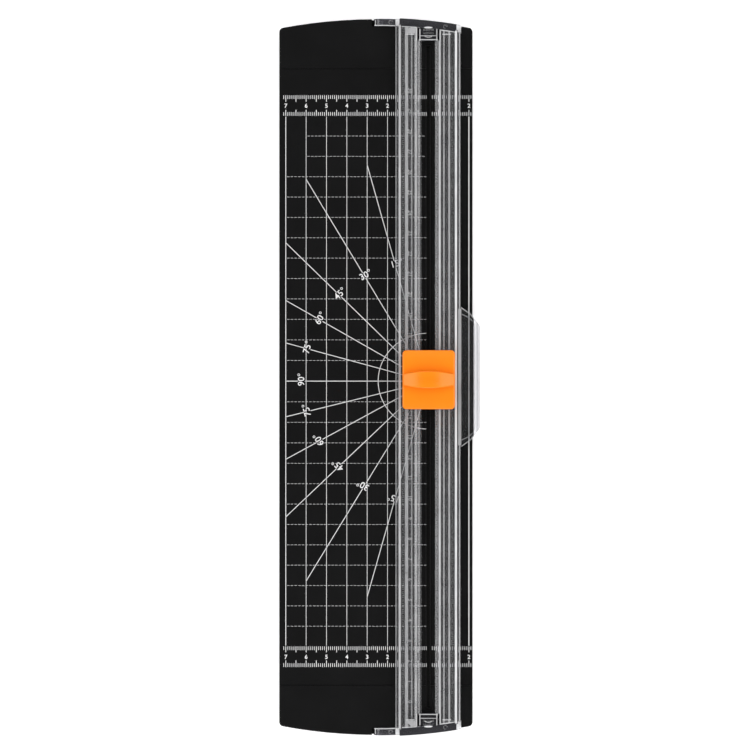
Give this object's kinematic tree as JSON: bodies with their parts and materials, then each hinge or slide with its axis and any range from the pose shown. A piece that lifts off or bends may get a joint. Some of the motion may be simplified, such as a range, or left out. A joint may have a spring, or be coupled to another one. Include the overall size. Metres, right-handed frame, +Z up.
{
  "type": "rotary paper trimmer",
  "caption": "Flat desktop paper trimmer: printed base, clear hinged rail with a slot, and a sprung slider that rolls a round blade along the cut line.",
  "frame": {"origin": "centre of the whole footprint (base and lift tab), on the surface that the feet stand on", "axes": "+X towards the lift tab, +Y along the cut line, +Z up"},
  "size_m": [0.0986, 0.3522, 0.031],
  "materials": {
    "base_black": "satin moulded black",
    "strip_black": "soft satin black",
    "foot_rubber": "matte",
    "pin_steel": "drawn wire",
    "pin_black": "black oxide steel",
    "clear_plastic": "clear, glossy",
    "sled_black": "satin black",
    "spring_steel": "bright wire",
    "cover_orange": "semi-gloss orange",
    "holder_black": "satin black",
    "blade_steel": "ground and polished",
    "hub_brass": "turned"
  },
  "bodies": {
    "base": {"base_tray": "base_black", "cutting_strip": "strip_black", "foot_front_left": "foot_rubber", "foot_front_right": "foot_rubber", "foot_back_left": "foot_rubber", "foot_back_right": "foot_rubber", "hinge_pin_front": "pin_black", "hinge_pin_back": "pin_black"},
    "rail": {"clear_rail": "clear_plastic", "end_stop_front": "clear_plastic", "end_stop_back": "clear_plastic"},
    "carriage": {"carriage_sled": "sled_black", "return_spring_front": "spring_steel", "return_spring_back": "spring_steel"},
    "press": {"slider_cover": "cover_orange", "blade_holder_left": "holder_black", "blade_holder_right": "holder_black", "holder_screws": "pin_steel", "blade_axle": "pin_steel"},
    "blade": {"rotary_blade": "blade_steel", "blade_hub": "hub_brass", "hub_ring": "hub_brass"}
  },
  "joints": [
    {"name": "rail_hinge", "type": "hinge", "parent": "base", "child": "rail", "pos_m": [0.0005, 0, 0.0084], "axis": [0, -1, 0], "range_deg": [0, 95]},
    {"name": "carriage_slide", "type": "slide", "parent": "rail", "child": "carriage", "axis": [0, 1, 0], "range_m": [-0.1485, 0.1511]},
    {"name": "blade_press", "type": "slide", "parent": "carriage", "child": "press", "axis": [0, 0, -1], "range_m": [0, 0.0022], "stiffness_N_per_m": 700, "springref_m": -0.003, "deforming": ["return_spring_front", "return_spring_back"]},
    {"name": "blade_spin", "type": "hinge", "parent": "press", "child": "blade", "pos_m": [0.0239, -0.0013, 0.0169], "axis": [1, 0, 0], "continuous": true}
  ],
  "couplings": [
    {"joint": "blade_spin", "follows": "carriage_slide", "rad_per_m": -153.85}
  ]
}
